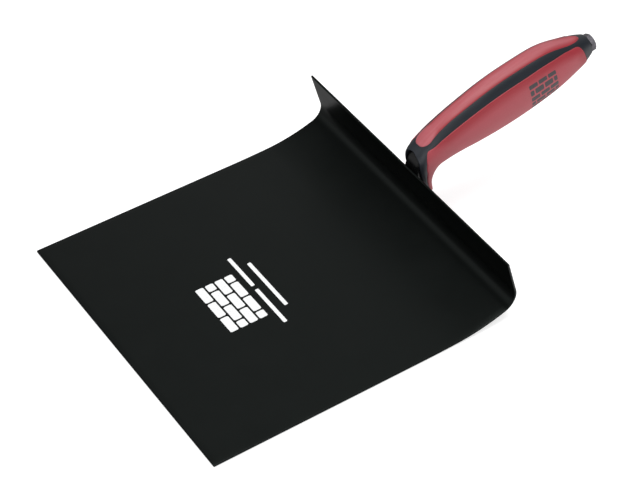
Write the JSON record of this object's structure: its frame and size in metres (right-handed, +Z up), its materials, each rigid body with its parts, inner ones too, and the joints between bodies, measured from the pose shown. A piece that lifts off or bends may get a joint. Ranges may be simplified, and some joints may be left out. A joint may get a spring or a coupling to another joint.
{
  "type": "harling trowel",
  "caption": "Square flat throwing blade with a turned-up rear lip, a bar shank fixed behind the lip and a rising two-tone soft grip.",
  "frame": {"origin": "middle of the flat area of the blade's underside, where the trowel rests", "axes": "+X across the blade along the lip, +Y from the blade's front edge towards the handle, +Z up from the throwing face"},
  "size_m": [0.178, 0.2984, 0.0814],
  "materials": {
    "blade_coating": "satin black baked coating on steel sheet",
    "shank_coating": "gloss black enamel on forged steel",
    "rivet_coating": "satin black coated steel rivets",
    "core_charcoal": "fine-textured charcoal moulding",
    "grip_red": "soft matt red elastomer",
    "fixing_steel": "darkened zinc-plated steel",
    "print_white": "thin white pad print"
  },
  "bodies": {
    "root": {"blade": "blade_coating", "shank": "shank_coating", "lip_rivets": "rivet_coating", "handle_core": "core_charcoal", "grip_top": "grip_red", "grip_under": "grip_red", "butt_washer": "fixing_steel", "end_nut": "fixing_steel"}
  },
  "joints": []
}
